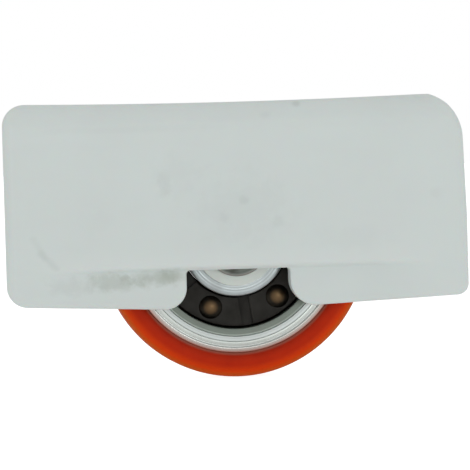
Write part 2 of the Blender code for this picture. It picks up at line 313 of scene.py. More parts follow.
def slot_layers():
    """The wheel slot, right through from bottom to top, with both mouths rounded over."""
    corner = 1.0 * MM
    low_round = 0.25 * MM
    high_round = 0.3 * MM
    sag = 0.2 * MM
    levels = mouth_levels(skirt_z, 1, low_round)
    levels += list(reversed(mouth_levels(top_z - sag, -1, high_round)))
    layers = []
    for level, grow in levels:
        ring = round_rect(slot_half_length + grow, slot_half_width + grow, corner + grow, 8)
        layers.append((level, ring))
    return layers


def end_cores(name):
    """Four drafted pockets moulded up into the end blocks, two either side of a rib."""
    builder = bmesh.new()
    away_x = 18.1 * MM
    away_y = 3.2 * MM
    half_x = 1.8 * MM
    half_y = 2.6 * MM
    corner = 0.4 * MM
    mouth_round = 0.2 * MM
    roof = top_z - 2.6 * MM
    levels = mouth_levels(skirt_z + 0.5 * MM, 1, mouth_round)
    levels += [(roof - 0.3 * MM, -0.12 * MM), (roof, -0.35 * MM)]
    for end in (-1, 1):
        for side in (-1, 1):
            layers = []
            for level, grow in levels:
                ring = round_rect(half_x + grow, half_y + grow, corner + max(grow, -0.1 * MM), 4)
                shifted = [(x + end * away_x, y + side * away_y) for x, y in ring]
                layers.append((level, shifted))
            stack(builder, "Z", layers)
    return finish_piece(name, builder)


housing = stacked("housing_moulding", "Y", outer_skin())
set_back_skirts(housing)
seat_end = axle_high.y + 0.1 * MM
carve(
    housing,
    [
        stacked("slot", "Z", slot_layers()),
        stacked("front_window", "Y", window_layers(-1)),
        stacked("back_window", "Y", window_layers(1)),
        stacked("seats", "Y", [(-seat_end, seat_outline()), (seat_end, seat_outline())]),
        end_cores("cores"),
    ],
)
keep_flats_flat(housing, 30)


def place(tree, kind, values=None, links=None, **settings):
    """Add a shader node, set its sockets and wire its inputs."""
    made = tree.nodes.new(kind)
    for name, value in settings.items():
        setattr(made, name, value)
    for socket, value in (values or {}).items():
        made.inputs[socket].default_value = value
    for socket, source in (links or {}).items():
        tree.links.new(source, made.inputs[socket])
    return made


def maths(tree, operation, first, second=None, clamp=False):
    """A Math node; each operand is a number or a socket."""
    made = tree.nodes.new("ShaderNodeMath")
    made.operation = operation
    made.use_clamp = clamp
    for index, operand in enumerate((first, second)):
        if isinstance(operand, (int, float)):
            made.inputs[index].default_value = operand
        elif operand is not None:
            tree.links.new(operand, made.inputs[index])
    return made.outputs[0]


def ramp(tree, source, low, high, to_low=0.0, to_high=1.0):
    """A smooth step of a value from one range to another."""
    made = place(
        tree,
        "ShaderNodeMapRange",
        {"From Min": low, "From Max": high, "To Min": to_low, "To Max": to_high},
        {"Value": source},
        interpolation_type="SMOOTHSTEP",
    )
    return made.outputs["Result"]


def blend_colour(tree, share, first, second, mode="MIX"):
    """Mix two colours, each a tuple or a socket."""
    made = tree.nodes.new("ShaderNodeMix")
    made.data_type = "RGBA"
    made.blend_type = mode
    made.clamp_factor = True
    for socket, operand in ((0, share), (6, first), (7, second)):
        if isinstance(operand, (int, float)):
            made.inputs[socket].default_value = operand
        elif isinstance(operand, tuple):
            made.inputs[socket].default_value = (*operand, 1.0)
        else:
            tree.links.new(operand, made.inputs[socket])
    return made.outputs[2]


def new_group(name, inputs, outputs):
    """A shader group with float inputs {name: default} and named float outputs."""
    group = bpy.data.node_groups.new(name, "ShaderNodeTree")
    for label, default in inputs.items():
        socket = group.interface.new_socket(label, in_out="INPUT", socket_type="NodeSocketFloat")
        socket.default_value = default
    for label in outputs:
        group.interface.new_socket(label, in_out="OUTPUT", socket_type="NodeSocketFloat")
    start = group.nodes.new("NodeGroupInput")
    end = group.nodes.new("NodeGroupOutput")
    return group, start, end


def use_group(tree, group, **values):
    """Place a group; keyword names use _ where the socket's name has a space."""
    made = place(tree, "ShaderNodeGroup", node_tree=group)
    for name, value in values.items():
        made.inputs[name.replace("_", " ")].default_value = value
    return made


def new_material(name, roughness=0.5, metallic=0.0, **constants):
    material = bpy.data.materials.new(name)
    material.use_nodes = True
    tree = material.node_tree
    shader = tree.nodes["Principled BSDF"]
    shader.inputs["Roughness"].default_value = roughness
    shader.inputs["Metallic"].default_value = metallic
    for socket, value in constants.items():
        shader.inputs[socket.replace("_", " ")].default_value = value
    return material, tree, shader


def add_bump(tree, shader, height, strength, distance):
    bump = place(tree, "ShaderNodeBump", {"Strength": strength, "Distance": distance})
    tree.links.new(height, bump.inputs["Height"])
    tree.links.new(bump.outputs["Normal"], shader.inputs["Normal"])


def make_moulded_skin():
    """The skin of a moulding: fine spark grain, slow tonal drift and faint flow lines."""
    inputs = {"Grain Size": 0.12, "Drift Size": 9.0, "Flow": 0.3}
    group, start, end = new_group("moulded_skin", inputs, ["Tone", "Grain", "Height"])
    point = place(group, "ShaderNodeTexCoord").outputs["Object"]
    grain_scale = maths(group, "DIVIDE", 1000.0, start.outputs["Grain Size"])
    drift_scale = maths(group, "DIVIDE", 1000.0, start.outputs["Drift Size"])
    grain = place(group, "ShaderNodeTexNoise", {"Detail": 2.0}, {"Vector": point, "Scale": grain_scale})
    drift = place(
        group,
        "ShaderNodeTexNoise",
        {"Detail": 3.0, "Roughness": 0.55},
        {"Vector": point, "Scale": drift_scale},
    )
    stretch = place(group, "ShaderNodeMapping", {"Scale": (0.18, 1.0, 1.0)}, {"Vector": point})
    flow = place(
        group,
        "ShaderNodeTexNoise",
        {"Scale": 420.0, "Detail": 2.0, "Distortion": 0.6},
        {"Vector": stretch.outputs["Vector"]},
    )
    flow_part = maths(group, "MULTIPLY", flow.outputs["Fac"], start.outputs["Flow"])
    tone = maths(group, "ADD", drift.outputs["Fac"], flow_part)
    height = maths(group, "ADD", grain.outputs["Fac"], maths(group, "MULTIPLY", flow_part, 2.0))
    group.links.new(tone, end.inputs["Tone"])
    group.links.new(grain.outputs["Fac"], end.inputs["Grain"])
    group.links.new(height, end.inputs["Height"])
    return group


def make_smudge_and_shade_patch():
    """A soft patch on one side face, used for dirt and for painted shade: an ellipse in X and Z, broken
    up by noise.
    """
    inputs = {"X": 0.0, "Z": 10.0, "Half Length": 2.0, "Half Height": 1.0}
    inputs.update({"Side": -1.0, "Breakup": 0.5})
    group, start, end = new_group("smudge_and_shade_patch", inputs, ["Mask"])
    point = place(group, "ShaderNodeTexCoord").outputs["Object"]
    apart = place(group, "ShaderNodeSeparateXYZ", links={"Vector": point})

    def offset(axis, half):
        in_mm = maths(group, "MULTIPLY", apart.outputs[axis], 1000.0)
        away = maths(group, "SUBTRACT", in_mm, start.outputs[axis])
        share = maths(group, "DIVIDE", away, start.outputs[half])
        return maths(group, "MULTIPLY", share, share)

    squares = maths(group, "ADD", offset("X", "Half Length"), offset("Z", "Half Height"))
    distance = maths(group, "SQRT", squares)
    noise = place(
        group,
        "ShaderNodeTexNoise",
        {"Scale": 900.0, "Detail": 4.0, "Roughness": 0.6},
        {"Vector": point},
    )
    centred = maths(group, "SUBTRACT", noise.outputs["Fac"], 0.5)
    wobble = maths(group, "MULTIPLY", centred, start.outputs["Breakup"])
    edge = maths(group, "ADD", distance, maths(group, "MULTIPLY", wobble, 3.0))
    inside = ramp(group, edge, 0.15, 1.0, 1.0, 0.0)
    facing = maths(group, "MULTIPLY", apart.outputs["Y"], start.outputs["Side"])
    on_side = ramp(group, facing, 6.6 * MM, 7.0 * MM)
    group.links.new(maths(group, "MULTIPLY", inside, on_side), end.inputs["Mask"])
    return group


def make_scratch():
    """One thin straight scratch on a side face, given by its two ends in mm."""
    inputs = {"X1": 0.0, "Z1": 0.0, "X2": 1.0, "Z2": 1.0, "Width": 0.12, "Side": -1.0}
    group, start, end = new_group("scratch", inputs, ["Mask"])
    point = place(group, "ShaderNodeTexCoord").outputs["Object"]
    apart = place(group, "ShaderNodeSeparateXYZ", links={"Vector": point})
    x_mm = maths(group, "MULTIPLY", apart.outputs["X"], 1000.0)
    z_mm = maths(group, "MULTIPLY", apart.outputs["Z"], 1000.0)
    x = maths(group, "SUBTRACT", x_mm, start.outputs["X1"])
    z = maths(group, "SUBTRACT", z_mm, start.outputs["Z1"])
    run_x = maths(group, "SUBTRACT", start.outputs["X2"], start.outputs["X1"])
    run_z = maths(group, "SUBTRACT", start.outputs["Z2"], start.outputs["Z1"])

    def summed_products(a1, a2, b1, b2):
        first = maths(group, "MULTIPLY", a1, a2)
        return maths(group, "ADD", first, maths(group, "MULTIPLY", b1, b2))

    square = summed_products(run_x, run_x, run_z, run_z)
    along = maths(group, "DIVIDE", summed_products(x, run_x, z, run_z), square, clamp=True)
    off_x = maths(group, "SUBTRACT", x, maths(group, "MULTIPLY", along, run_x))
    off_z = maths(group, "SUBTRACT", z, maths(group, "MULTIPLY", along, run_z))
    off = maths(group, "SQRT", summed_products(off_x, off_x, off_z, off_z))
    noise = place(group, "ShaderNodeTexNoise", {"Scale": 1500.0, "Detail": 2.0}, {"Vector": point})
    ragged = maths(group, "MULTIPLY", off, maths(group, "ADD", noise.outputs["Fac"], 0.5))
    across = maths(group, "DIVIDE", ragged, start.outputs["Width"], clamp=True)
    line = ramp(group, across, 0.0, 1.0, 1.0, 0.0)
    facing = maths(group, "MULTIPLY", apart.outputs["Y"], start.outputs["Side"])
    mask = maths(group, "MULTIPLY", line, ramp(group, facing, 7.0 * MM, 7.3 * MM))
    group.links.new(mask, end.inputs["Mask"])
    return group


moulded_skin = make_moulded_skin()
smudge_and_shade_patch = make_smudge_and_shade_patch()
scratch = make_scratch()


def make_white_acetal():
    """White acetal: waxy, faintly translucent, with handling marks and rail dirt. Painted shade lies
    under the ledge, inside the slot and along the foot of the top rounding, with a painted highlight
    above the ledge, and faces that face up are darker in patches.
    """
    material, tree, shader = new_material(
        "white_acetal",
        IOR=1.48,
        Subsurface_Weight=0.12,
        Subsurface_Scale=0.0006,
    )
    skin = use_group(tree, moulded_skin, Grain_Size=0.16, Drift_Size=11.0, Flow=0.25)
    tone = ramp(tree, skin.outputs["Tone"], 0.35, 0.95)
    colour = blend_colour(tree, tone, (0.812, 0.880, 0.857), (0.838, 0.918, 0.890))

    def mark(share, tint, mask):
        nonlocal colour
        colour = blend_colour(tree, maths(tree, "MULTIPLY", mask, share), colour, tint)

    grey_green = (0.40, 0.45, 0.36)
    grey = (0.46, 0.49, 0.48)
    patches = [
        # x, z, half length, half height, strength, tint, breakup
        (-8.0, 10.2, 3.9, 1.15, 0.42, grey_green, 0.5),
        (-6.2, 10.4, 2.0, 1.0, 0.34, grey_green, 0.3),
        (-12.0, 9.9, 3.6, 1.3, 0.30, grey_green, 0.6),
        (-15.6, 9.6, 3.6, 1.2, 0.12, grey, 0.7),
        (-6.8, 19.3, 1.0, 1.4, 0.12, grey, 0.5),
        (-6.0, 20.0, 3.2, 2.6, 0.055, grey, 0.5),
        (0.7, 17.5, 0.7, 0.6, 0.15, grey, 0.4),
        (0.6, 16.8, 6.6, 5.0, 0.075, grey, 0.45),
        (-1.3, 15.9, 0.6, 0.8, 0.10, grey, 0.4),
        (3.7, 15.4, 0.9, 0.8, 0.07, grey, 0.5),
        # painted shade: the next two patches lay a faint dark line along the foot of the top rounding
        (-10.0, 24.55, 13.0, 0.5, 0.045, grey, 0.3),
        (12.0, 24.55, 11.0, 0.5, 0.025, grey, 0.3),
        (-13.5, 15.8, 2.6, 1.4, 0.035, grey, 0.5),
        (10.5, 13.5, 5.0, 1.8, 0.035, grey, 0.5),
        (19.2, 17.6, 1.0, 0.7, 0.06, grey, 0.5),
        (6.0, 26.6, 0.65, 0.45, 0.28, grey, 0.2),
        (3.0, 25.6, 0.8, 0.5, 0.08, grey, 0.3),
    ]
    for x, z, long, high, strength, tint, breakup in patches:
        patch = use_group(tree, smudge_and_shade_patch, X=x, Z=z, Half_Length=long, Half_Height=high, Breakup=breakup)
        mark(strength, tint, patch.outputs["Mask"])
    back_patches = [
        (9.0, 10.3, 4.5, 0.9, 0.35, grey_green, 0.5),
        (-3.0, 19.0, 2.0, 1.4, 0.10, grey, 0.5),
        (12.5, 22.0, 1.2, 0.8, 0.12, grey, 0.6),
    ]
    for x, z, long, high, strength, tint, breakup in back_patches:
        patch = use_group(
            tree, smudge_and_shade_patch, X=x, Z=z, Half_Length=long, Half_Height=high, Side=1.0, Breakup=breakup
        )
        mark(strength, tint, patch.outputs["Mask"])
    scratches = [
        # x1, z1, x2, z2, width, side, strength
        (-19.6, 14.3, -18.5, 12.5, 0.55, -1.0, 0.09),
        (-18.9, 12.9, -17.5, 11.5, 0.55, -1.0, 0.14),
        (6.0, 21.5, 8.5, 20.4, 0.10, 1.0, 0.25),
        (-11.0, 14.0, -8.0, 14.8, 0.08, 1.0, 0.25),
    ]
    for x1, z1, x2, z2, width, side, strength in scratches:
        line = use_group(tree, scratch, X1=x1, Z1=z1, X2=x2, Z2=z2, Width=width, Side=side)
        mark(strength, grey, line.outputs["Mask"])

    point = place(tree, "ShaderNodeTexCoord").outputs["Object"]
    apart = place(tree, "ShaderNodeSeparateXYZ", links={"Vector": point})
    normal = place(tree, "ShaderNodeNewGeometry").outputs["Normal"]
    facing_up = place(tree, "ShaderNodeSeparateXYZ", links={"Vector": normal})
    # faces that face up are coloured darker in noise patches; the same noise breaks up the slot's
    # painted shade
    patch_noise = place(tree, "ShaderNodeTexNoise", {"Scale": 700.0, "Detail": 5.0}, {"Vector": point})
    up_facing_patches = maths(
        tree,
        "MULTIPLY",
        ramp(tree, facing_up.outputs["Z"], 0.5, 1.0),
        ramp(tree, patch_noise.outputs["Fac"], 0.45, 0.75),
    )
    mark(0.10, (0.50, 0.49, 0.45), up_facing_patches)
    up = maths(tree, "MULTIPLY", apart.outputs["Z"], 1000.0)
    out = maths(tree, "MULTIPLY", maths(tree, "ABSOLUTE", apart.outputs["X"]), 1000.0)
    ledge_run = ramp(tree, out, 20.0, 14.0)
    # painted shade: a grey band darkens the wall just under the ledge
    painted_shade_under_ledge = ramp(tree, up, 11.25, 10.75)
    mark(0.04, grey, maths(tree, "MULTIPLY", painted_shade_under_ledge, ledge_run))
    # painted highlight: a pale band lightens the wall just above the ledge
    lip = maths(tree, "MULTIPLY", ramp(tree, up, 10.9, 11.2), ramp(tree, up, 13.4, 11.2))
    mark(0.22, (0.94, 0.97, 0.955), maths(tree, "MULTIPLY", lip, ledge_run))
    # painted shade: the walls inside the slot are darkened in noise patches
    between_walls = ramp(tree, maths(tree, "ABSOLUTE", apart.outputs["Y"]), 4.6 * MM, 4.15 * MM)
    in_slot = maths(tree, "MULTIPLY", between_walls, ramp(tree, out, 14.5, 14.15))
    mark(0.16, (0.42, 0.40, 0.36), maths(tree, "MULTIPLY", in_slot, patch_noise.outputs["Fac"]))
    tree.links.new(colour, shader.inputs["Base Color"])

    roughness = ramp(tree, skin.outputs["Tone"], 0.2, 1.1, 0.40, 0.52)
    tree.links.new(roughness, shader.inputs["Roughness"])
    add_bump(tree, shader, skin.outputs["Height"], 0.25, 0.012 * MM)
    return material


housing.data.materials.clear()
housing.data.materials.append(make_white_acetal())
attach(housing, "carrier")
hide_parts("housing")


# ---- Axle -------------------------------------------------------------------
# A plain pin cut from ground steel bar, 6 mm thick, with a turned chamfer and a
# lathe-faced end. Its end is coloured dark in the middle, oiled steel with painted
# shade, and turns bright toward the edge as a painted highlight. It does not turn:
# both ends sit in the housing's walls.
ROUND_STEPS = 144


def turned(name, profile, steps=ROUND_STEPS):
    """Spin a closed (radius, y) profile about the axle's line; the origin is its centre."""
    builder = bmesh.new()
    rings = []
    for step in range(steps):
        angle = math.tau * step / steps
        across = math.cos(angle)
        up = math.sin(angle)
        rings.append([builder.verts.new((r * across, y, r * up)) for r, y in profile])
    count = len(profile)
    for step in range(steps):
        here = rings[step]
        there = rings[(step + 1) % steps]
        for index in range(count):
            after = (index + 1) % count
            builder.faces.new((here[index], here[after], there[after], there[index]))
    piece = finish_piece(name, builder)
    piece.location = axle_centre
    piece.data.shade_smooth()
    piece.data.set_sharp_from_angle(angle=math.radians(38))
    return piece


def faced_profile(radius, half, chamfer, dimple):
    """Half of a pin's section, closed on its centre line with a tiny lathe dimple."""
    points = [(dimple * 0.02, -half + dimple)]
    points += [(dimple, -half), (radius - chamfer * 1.3, -half)]
    points += arc(radius - chamfer, -half + chamfer, chamfer, -90, 0, 6)
    points += arc(radius - chamfer, half - chamfer, chamfer, 0, 90, 6)
    points += [(radius - chamfer * 1.3, half), (dimple, half)]
    return points + [(dimple * 0.02, half - dimple)]


def make_turned_lines():
    """Rings left by a lathe tool: noise read along the radius and along the axle."""
    inputs = {"Pitch": 0.12, "Contrast": 0.5, "Stain Size": 2.5}
    group, start, end = new_group("turned_lines", inputs, ["Line", "Stain", "Radius", "Depth", "Height"])
    point = place(group, "ShaderNodeTexCoord").outputs["Object"]
    apart = place(group, "ShaderNodeSeparateXYZ", links={"Vector": point})
    flat = place(group, "ShaderNodeCombineXYZ", links={"X": apart.outputs["X"], "Z": apart.outputs["Z"]})
    length = place(group, "ShaderNodeVectorMath", links={0: flat.outputs[0]}, operation="LENGTH")
    radius = maths(group, "MULTIPLY", length.outputs["Value"], 1000.0)
    along = maths(group, "MULTIPLY", apart.outputs["Y"], 1000.0)
    path = maths(group, "ADD", radius, maths(group, "MULTIPLY", along, 0.83))
    turn = maths(group, "DIVIDE", path, start.outputs["Pitch"])
    fine = place(
        group,
        "ShaderNodeTexNoise",
        {"Scale": 1.0, "Detail": 3.0},
        {"W": turn},
        noise_dimensions="1D",
    )
    stain_scale = maths(group, "DIVIDE", 1000.0, start.outputs["Stain Size"])
    stain = place(
        group,
        "ShaderNodeTexNoise",
        {"Detail": 4.0, "Roughness": 0.6},
        {"Vector": point, "Scale": stain_scale},
    )
    centred = maths(group, "SUBTRACT", fine.outputs["Fac"], 0.5)
    line = maths(group, "ADD", maths(group, "MULTIPLY", centred, start.outputs["Contrast"]), 0.5)
    group.links.new(line, end.inputs["Line"])
    group.links.new(ramp(group, stain.outputs["Fac"], 0.42, 0.7), end.inputs["Stain"])
    group.links.new(radius, end.inputs["Radius"])
    group.links.new(maths(group, "ABSOLUTE", along), end.inputs["Depth"])
    group.links.new(fine.outputs["Fac"], end.inputs["Height"])
    return group


turned_lines = make_turned_lines()


def make_steel(name, dark, light, roughness, pitch, stain_colour, stain_share, bands=()):
    """Turned steel with rings and stains; bands are (output, from, to, share, colour)."""
    material, tree, shader = new_material(name, metallic=1.0)
    lines = use_group(tree, turned_lines, Pitch=pitch, Contrast=1.6, Stain_Size=2.2)
    colour = blend_colour(tree, lines.outputs["Line"], dark, light)
    stained = maths(tree, "MULTIPLY", lines.outputs["Stain"], stain_share)
    colour = blend_colour(tree, stained, colour, stain_colour)
    for measured, begins, full, share, tint in bands:
        band = ramp(tree, lines.outputs[measured], begins, full, 0.0, share)
        colour = blend_colour(tree, band, colour, tint)
    tree.links.new(colour, shader.inputs["Base Color"])
    spread = ramp(tree, lines.outputs["Line"], 0.1, 0.9, roughness * 1.25, roughness * 0.8)
    dulled = maths(tree, "ADD", spread, maths(tree, "MULTIPLY", stained, 0.2), clamp=True)
    tree.links.new(dulled, shader.inputs["Roughness"])
    add_bump(tree, shader, lines.outputs["Height"], 0.2, 0.01 * MM)
    return material


axle = turned("axle_pin", faced_profile(axle_high.x, axle_high.y, 0.4 * MM, 0.35 * MM), 96)
oiled_and_shaded_axle_steel = make_steel(
    "oiled_axle_steel_with_painted_shade",
    dark=(0.11, 0.125, 0.11),
    light=(0.19, 0.21, 0.19),
    roughness=0.36,
    pitch=0.09,
    stain_colour=(0.05, 0.042, 0.032),
    stain_share=0.6,
    # painted highlight: bright from 2.6 mm radius outward; the dark middle is oiled steel with painted
    # shade
    bands=[("Radius", 2.60, 3.16, 1.0, (0.74, 0.78, 0.74))],
)
axle.data.materials.append(oiled_and_shaded_axle_steel)
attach(axle, "carrier")
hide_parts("axle")


# ---- Spacers ----------------------------------------------------------------
# Two off-white acetal washers on the axle. They keep the inner race off the
# housing's walls, so that only the race's own side touches them.
def ring_profile(bore, outside, low_y, high_y, edge):
    """A plain ring's section with all four edges rounded."""
    points = arc(bore + edge, low_y + edge, edge, 180, 270, 4)
    points += arc(outside - edge, low_y + edge, edge, 270, 360, 4)
    points += arc(outside - edge, high_y - edge, edge, 0, 90, 4)
    points += arc(bore + edge, high_y - edge, edge, 90, 180, 4)
    return points


def make_washer_acetal():
    """Natural acetal, a little yellower than the housing, smeared with bearing grease."""
    material, tree, shader = new_material(
        "washer_acetal",
        IOR=1.48,
        Subsurface_Weight=0.1,
        Subsurface_Scale=0.0005,
    )
    skin = use_group(tree, moulded_skin, Grain_Size=0.1, Drift_Size=1.6, Flow=0.2)
    colour = blend_colour(tree, skin.outputs["Tone"], (0.86, 0.93, 0.88), (0.92, 0.98, 0.93))
    film = ramp(tree, skin.outputs["Tone"], 0.72, 0.95, 0.0, 0.15)
    colour = blend_colour(tree, film, colour, (0.34, 0.33, 0.27))
    tree.links.new(colour, shader.inputs["Base Color"])
    tree.links.new(ramp(tree, skin.outputs["Tone"], 0.2, 1.0, 0.5, 0.3), shader.inputs["Roughness"])
    add_bump(tree, shader, skin.outputs["Height"], 0.2, 0.01 * MM)
    return material


washer_acetal = make_washer_acetal()
for node in ("spacer_front", "spacer_back"):
    low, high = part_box(node)
    section = ring_profile(axle_high.x + 0.02 * MM, high.x, low.y, high.y, 0.04 * MM)
    washer = turned(node + "_washer", section, 96)
    washer.data.materials.append(washer_acetal)
    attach(washer, "carrier")
    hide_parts(node)


# ---- Inner race -------------------------------------------------------------
# The bearing's inner ring, ground from through-hardened steel. Its bore grips the
# axle; the ball track is a round groove between two plain lands.
_, inner_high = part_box("inner_race")
ball_low, ball_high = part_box("ball_1")
bearing_half = inner_high.y
ball_radius = ball_high.y
pitch_radius = math.hypot(
    (ball_low.x + ball_high.x) / 2 - axle_centre.x, (ball_low.z + ball_high.z) / 2 - axle_centre.z
)
track_radius = ball_radius + 0.12 * MM
inner_land = inner_high.x
outer_land = 8.27 * MM


def track(land, facing_out):
    """The arc of a ball track, from one land edge to the other."""
    spread = math.degrees(math.acos(abs(land - pitch_radius) / track_radius))
    if facing_out:
        return arc(pitch_radius, 0, track_radius, 180 + spread, 180 - spread, 16)
    return arc(pitch_radius, 0, track_radius, spread, -spread, 16)


def inner_race_profile():
    edge = 0.26 * MM
    bore = axle_high.x + 0.05 * MM
    points = arc(bore + edge, -bearing_half + edge, edge, 180, 270, 4)
    points += [(4.35 * MM, -bearing_half)]
    points += arc(inner_land - edge, -bearing_half + edge, edge, 270, 360, 5)
    points += track(inner_land, True)
    points += arc(inner_land - edge, bearing_half - edge, edge, 0, 90, 5)
    points += [(4.35 * MM, bearing_half)]
    return points + arc(bore + edge, bearing_half - edge, edge, 90, 180, 4)


race_steel = make_steel(
    "race_steel",
    dark=(0.44, 0.485, 0.49),
    light=(0.57, 0.63, 0.635),
    roughness=0.34,
    pitch=0.14,
    stain_colour=(0.22, 0.22, 0.20),
    stain_share=0.22,
    # painted shade: surfaces less than 2.6 mm from the bearing's middle plane, inside the bearing, are
    # coloured nearly black
    bands=[("Depth", 2.72, 2.6, 0.9, (0.05, 0.045, 0.038))],
)
inner_race = turned("inner_race_ring", inner_race_profile())
inner_race.data.materials.append(race_steel)
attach(inner_race, "carrier")
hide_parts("inner_race")


# ---- Ball cage --------------------------------------------------------------
# A one-piece crown cage in black nylon. Its closed side is at the back; at the
# front, pairs of claws reach round each ball, with a relief slot between pairs so
# that they can spring open when the balls are snapped in. It runs wet with grease.
cage_low, cage_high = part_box("ball_cage")
cage_in = 5.26 * MM
cage_out = cage_high.x + 0.08 * MM
ball_count = 6
ball_centres = []
for number in range(1, ball_count + 1):
    low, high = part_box(f"ball_{number}")
    ball_centres.append((low + high) / 2)


def add_ball(builder, centre, radius, columns, rows):
    turn = Matrix.Rotation(math.pi / 2, 4, "X")
    bmesh.ops.create_uvsphere(
        builder,
        u_segments=columns,
        v_segments=rows,
        radius=radius,
        matrix=Matrix.Translation(centre) @ turn,
    )


def relief_slots(name):
    """Slots between the claws, halfway between neighbouring balls."""
    builder = bmesh.new()
    half = 0.55 * MM
    floor_y = cage_low.y + 0.4 * MM
    for centre in ball_centres:
        away = centre - axle_centre
        angle = math.atan2(away.z, away.x) + math.pi / ball_count
        before = set(builder.verts)
        near = cage_in - MM
        far = cage_out + MM
        bar = [(near, -half), (far, -half), (far, half), (near, half)]
        stack(builder, "Y", [(cage_low.y - past, bar), (floor_y, bar)])
        fresh = [corner for corner in builder.verts if corner not in before]
        bmesh.ops.rotate(builder, verts=fresh, matrix=Matrix.Rotation(-angle, 3, "Y"))
    slots = finish_piece(name, builder)
    slots.location = axle_centre
    return slots


def ball_pockets(name):
    builder = bmesh.new()
    for centre in ball_centres:
        add_ball(builder, centre - axle_centre, ball_radius + 0.06 * MM, 48, 28)
    pockets = finish_piece(name, builder)
    pockets.location = axle_centre
    return pockets


def make_black_nylon():
    """Black glass-filled nylon under a film of brown grease."""
    material, tree, shader = new_material("black_nylon", Specular_IOR_Level=0.22)
    skin = use_group(tree, moulded_skin, Grain_Size=0.09, Drift_Size=1.8, Flow=0.3)
    colour = blend_colour(tree, skin.outputs["Tone"], (0.013, 0.0125, 0.0105), (0.036, 0.033, 0.027))
    tree.links.new(colour, shader.inputs["Base Color"])
    tree.links.new(ramp(tree, skin.outputs["Tone"], 0.3, 0.9, 0.62, 0.38), shader.inputs["Roughness"])
    add_bump(tree, shader, skin.outputs["Height"], 0.3, 0.015 * MM)
    return material


cage = turned("crown_cage", ring_profile(cage_in, cage_out, cage_low.y, cage_high.y, 0.09 * MM), 120)
carve(cage, [ball_pockets("pockets"), relief_slots("slots")])
keep_flats_flat(cage, 35)
cage.data.materials.append(make_black_nylon())
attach(cage, "cage")
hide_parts("ball_cage")


# ---- Balls ------------------------------------------------------------------
# Six bearing balls, lapped bright and then buried in brown grease. A soft warm glint
# is painted on each at its front and back poles. Every ball turns in its own pocket.
def make_greased_ball_steel():
    material, tree, shader = new_material("greased_ball_steel", metallic=1.0)
    skin = use_group(tree, moulded_skin, Grain_Size=0.25, Drift_Size=1.1, Flow=0.0)
    colour = blend_colour(tree, skin.outputs["Tone"], (0.024, 0.021, 0.016), (0.046, 0.040, 0.031))
    point = place(tree, "ShaderNodeTexCoord").outputs["Object"]
    apart = place(tree, "ShaderNodeSeparateXYZ", links={"Vector": point})
    toward_side = maths(tree, "MULTIPLY", maths(tree, "ABSOLUTE", apart.outputs["Y"]), 1000.0)
    # painted glint: a warm lighter colour at the front and back poles
    painted_glint = ramp(tree, toward_side, 1.76, 1.96)
    colour = blend_colour(tree, painted_glint, colour, (0.18, 0.115, 0.060))
    tree.links.new(colour, shader.inputs["Base Color"])
    tree.links.new(ramp(tree, skin.outputs["Tone"], 0.3, 0.8, 0.42, 0.30), shader.inputs["Roughness"])
    add_bump(tree, shader, skin.outputs["Height"], 0.1, 0.01 * MM)
    return material


greased_ball_steel = make_greased_ball_steel()
for number, centre in enumerate(ball_centres, start=1):
    builder = bmesh.new()
    add_ball(builder, Vector((0, 0, 0)), ball_radius, 48, 28)
    ball = finish_piece(f"bearing_ball_{number}", builder)
    ball.location = centre
    ball.data.shade_smooth()
    ball.data.materials.append(greased_ball_steel)
    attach(ball, f"ball_{number}")
    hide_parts(f"ball_{number}")


# ---- Outer race -------------------------------------------------------------
# The bearing's outer ring, ground from through-hardened steel. It turns with the
# wheel. A step is turned into the mouth on each side: the back one holds the shield
# and the front one is left open. The step is coloured dark grey, partly an unpolished
# finish and partly painted shade, lighter toward the mouth; the land's edge by the cage
# is painted dark as shade.
_, outer_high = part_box("outer_race")


def outer_race_profile():
    outside = outer_high.x + 0.015 * MM
    edge = 0.04 * MM
    recess = 9.0 * MM
    step_y = bearing_half - 0.45 * MM
    small = 0.06 * MM
    points = [(outer_land + small, -step_y), (recess - small, -step_y)]
    points += [(recess, -step_y - small), (recess, -bearing_half + small)]
    points += [(recess + small, -bearing_half)]
    points += arc(outside - edge, -bearing_half + edge, edge, 270, 360, 5)
    points += arc(outside - edge, bearing_half - edge, edge, 0, 90, 5)
    points += [(recess + small, bearing_half), (recess, bearing_half - small)]
    points += [(recess, step_y + small), (recess - small, step_y)]
    points += [(outer_land + small, step_y), (outer_land, step_y - small)]
    points += track(outer_land, False)
    return points + [(outer_land, -step_y + small)]


outer_race_steel = make_steel(
    "outer_race_steel",
    dark=(0.20, 0.232, 0.20),
    light=(0.25, 0.285, 0.25),
    roughness=0.42,
    pitch=0.2,
    stain_colour=(0.30, 0.29, 0.27),
    stain_share=0.2,
    bands=[
        # painted shade at the land's edge, then the step's grey, partly painted shade, turning lighter
        # toward the mouth and side face
        ("Radius", 8.32, 8.22, 0.85, (0.10, 0.10, 0.088)),
        ("Radius", 8.68, 9.04, 0.9, (0.68, 0.76, 0.68)),
        ("Radius", 8.88, 9.0, 1.0, (0.72, 0.775, 0.755)),
    ],
)
outer_race = turned("outer_race_ring", outer_race_profile())
outer_race.data.materials.append(outer_race_steel)
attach(outer_race, "wheel")
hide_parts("outer_race")


# ---- Bearing shield ---------------------------------------------------------
# A ring pressed from thin sheet and snapped into the step at the back of the outer
# race. It closes the back of the bearing and turns with the wheel.
shield_low, shield_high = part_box("bearing_shield")
shield_in = inner_land + 0.015 * MM


